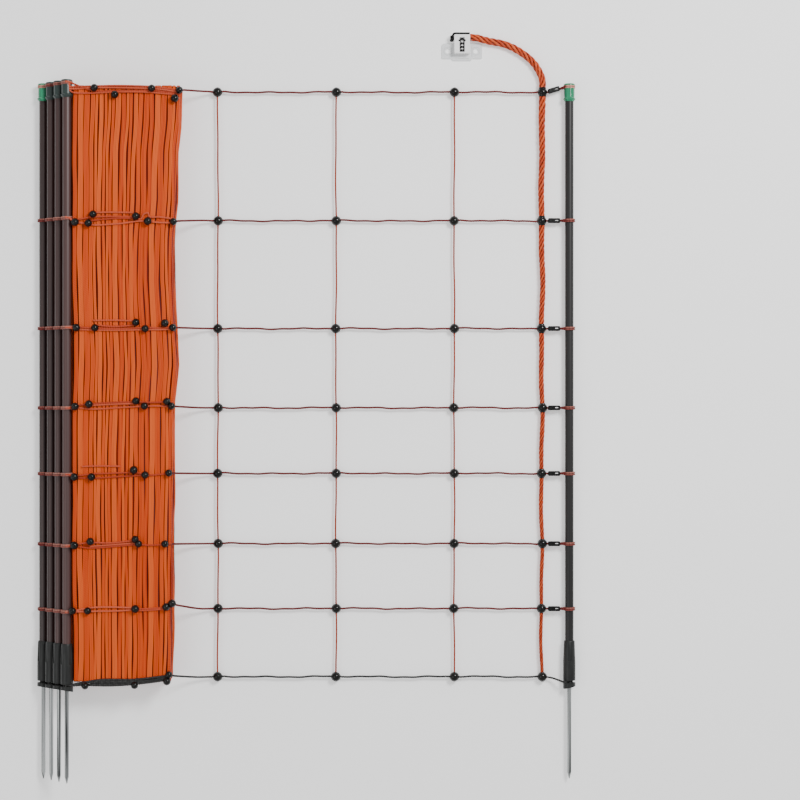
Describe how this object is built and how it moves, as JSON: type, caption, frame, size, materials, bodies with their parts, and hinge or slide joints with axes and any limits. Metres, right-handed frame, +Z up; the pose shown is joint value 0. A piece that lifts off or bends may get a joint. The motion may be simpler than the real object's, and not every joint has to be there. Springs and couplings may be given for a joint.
{
  "type": "electric sheep netting",
  "caption": "Electric sheep netting with spiked posts, partly gathered into a folded bundle, one stretch laid open, and a rope that ends in a clip",
  "frame": {"origin": "On the floor under the middle of the netting: midway between the axes of the first and last posts, and midway along the posts", "axes": "+Y runs along the posts from spike to cap, +X runs along the net from the gathered posts to the end post, +Z points up off the floor"},
  "size_m": [0.828, 1.1476, 0.0643],
  "materials": {
    "post_tube": "satin",
    "post_cap": "gloss",
    "post_sleeve": "satin",
    "spike_steel": "galvanised",
    "strand": "twisted twine",
    "net_line": "twisted twine",
    "ground_line": "twisted twine",
    "rope": "laid rope",
    "knot_plastic": "gloss",
    "black_plastic": "satin",
    "clip_plastic": "translucent",
    "clamp_plastic": "satin"
  },
  "bodies": {
    "root": {"post_tube_1": "post_tube", "post_cap_1": "post_cap", "post_sleeve_1": "post_sleeve", "post_spike_1": "spike_steel", "post_tube_2": "post_tube", "post_cap_2": "post_cap", "post_sleeve_2": "post_sleeve", "post_spike_2": "spike_steel", "post_tube_3": "post_tube", "post_cap_3": "post_cap", "post_sleeve_3": "post_sleeve", "post_spike_3": "spike_steel", "post_tube_4": "post_tube", "post_cap_4": "post_cap", "post_sleeve_4": "post_sleeve", "post_spike_4": "spike_steel", "post_tube_5": "post_tube", "post_cap_5": "post_cap", "post_sleeve_5": "post_sleeve", "post_spike_5": "spike_steel", "ground_line": "ground_line", "net_line_2": "net_line", "net_line_3": "net_line", "net_line_4": "net_line", "net_line_5": "net_line", "net_line_6": "net_line", "net_line_7": "net_line", "top_line": "net_line", "upright_strand_1": "strand", "upright_strand_2": "strand", "upright_strand_3": "strand", "edge_rope": "rope", "rope_free_end": "rope", "ferrule_2": "black_plastic", "ferrule_3": "black_plastic", "ferrule_4": "black_plastic", "ferrule_5": "black_plastic", "ferrule_6": "black_plastic", "ferrule_7": "black_plastic", "ferrule_8": "black_plastic", "folded_layer_1": "strand", "folded_layer_2": "strand", "folded_layer_3": "strand", "folded_layer_4": "strand", "clip_plate": "clip_plastic", "rope_clamp": "clamp_plastic", "clamp_screw": "spike_steel", "rope_tail": "black_plastic"}
  },
  "joints": []
}
